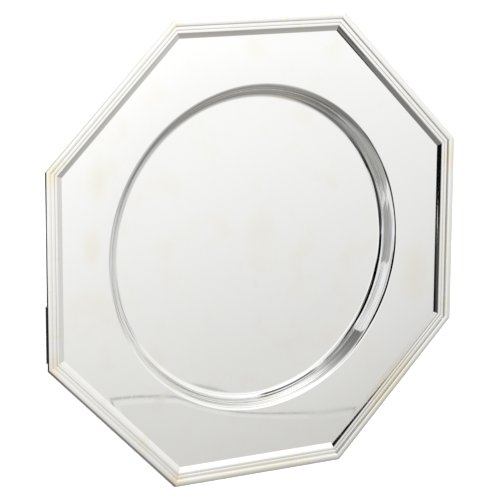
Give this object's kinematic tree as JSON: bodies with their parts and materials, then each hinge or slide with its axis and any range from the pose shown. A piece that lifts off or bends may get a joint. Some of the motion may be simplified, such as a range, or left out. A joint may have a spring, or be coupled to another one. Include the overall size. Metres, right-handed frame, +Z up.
{
  "type": "octagonal paten plate",
  "caption": "Octagonal silver-plated paten plate with a round sunk well, a broad flat flange and a reeded border mitred at its corners.",
  "frame": {"origin": "centre of the flat underside of the well, which the plate rests on", "axes": "+Z up along the plate's axis, out of the well; the octagon's flat sides face +X, -X, +Y and -Y and the four diagonals"},
  "size_m": [0.3, 0.3, 0.0121],
  "materials": {
    "plate_silver": "polished",
    "border_silver": "polished"
  },
  "bodies": {
    "root": {"plate_body": "plate_silver", "border_right": "border_silver", "border_back_right": "border_silver", "border_back": "border_silver", "border_back_left": "border_silver", "border_left": "border_silver", "border_front_left": "border_silver", "border_front": "border_silver", "border_front_right": "border_silver"}
  },
  "joints": []
}
